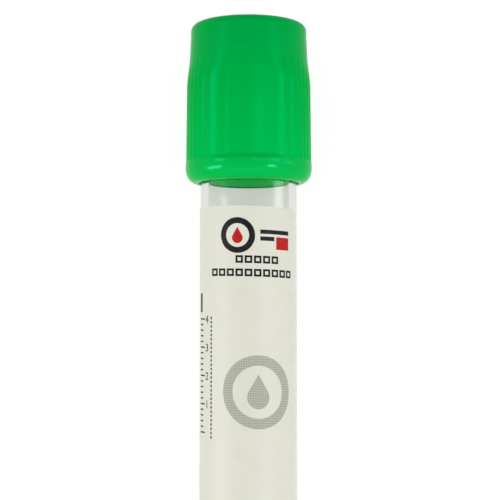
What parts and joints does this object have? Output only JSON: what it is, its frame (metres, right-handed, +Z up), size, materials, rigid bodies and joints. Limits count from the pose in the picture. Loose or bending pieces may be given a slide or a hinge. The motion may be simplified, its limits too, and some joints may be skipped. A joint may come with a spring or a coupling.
{
  "type": "blood collection tube",
  "caption": "Clear tube with a round end, closed by a rubber stopper under a ribbed safety cap that pulls off with it, with a film label wrapped round the wall.",
  "frame": {"origin": "on the surface that the tube lies on, under the middle of its box", "axes": "+Y along the tube towards the cap, in plan; +Z up; the tube's own axis rises 2.14 degrees towards the cap because the cap's collar is wider than the tube"},
  "size_m": [0.0172, 0.0822, 0.0172],
  "materials": {
    "clear_plastic": "clear, polished PET",
    "label_film": "cream film, satin, with plain printed marks",
    "stopper_rubber": "matte moulded butyl rubber",
    "cap_plastic": "green moulded polyethylene, semi-gloss"
  },
  "bodies": {
    "tube_body": {"tube": "clear_plastic", "label": "label_film"},
    "closure": {"stopper": "stopper_rubber", "safety_cap": "cap_plastic"}
  },
  "joints": [
    {"name": "closure_pull", "type": "slide", "parent": "tube_body", "child": "closure", "axis": [0, 0.9993, 0.0373], "range_m": [0, 0.025]}
  ]
}
